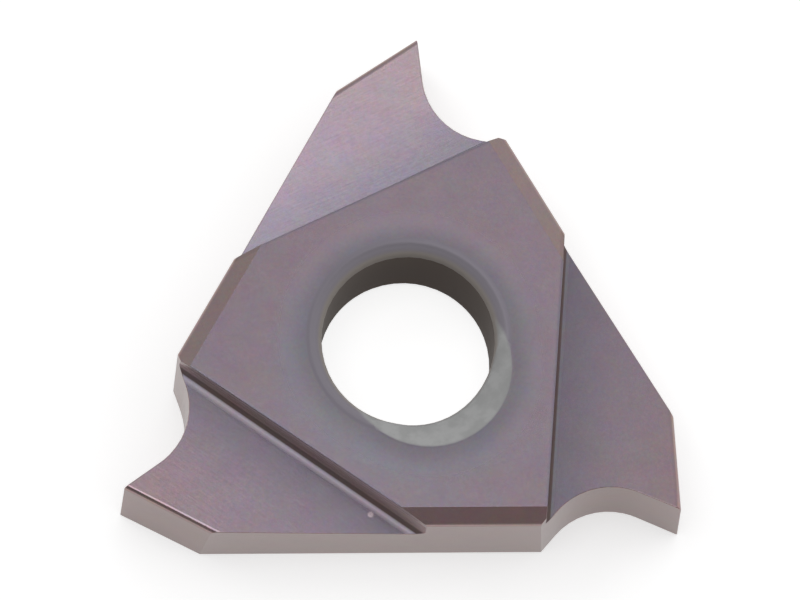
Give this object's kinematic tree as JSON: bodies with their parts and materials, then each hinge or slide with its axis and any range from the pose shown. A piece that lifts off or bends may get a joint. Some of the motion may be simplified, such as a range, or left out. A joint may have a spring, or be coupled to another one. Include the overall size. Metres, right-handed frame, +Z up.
{
  "type": "grooving insert",
  "caption": "Laydown carbide grooving insert: triangular core with a screw hole, and hooked cutting teeth ground thinner than the core at its corners.",
  "frame": {"origin": "on the screw hole's axis, in the flat underside", "axes": "+Z up along the screw hole's axis from the underside to the stepped top; one side of the triangle faces -Y"},
  "size_m": [0.014, 0.0129, 0.0032],
  "materials": {
    "coated_carbide": "ground carbide with a thin mauve-bronze coating, satin"
  },
  "bodies": {
    "root": {"grooving_insert": "coated_carbide"}
  },
  "joints": []
}
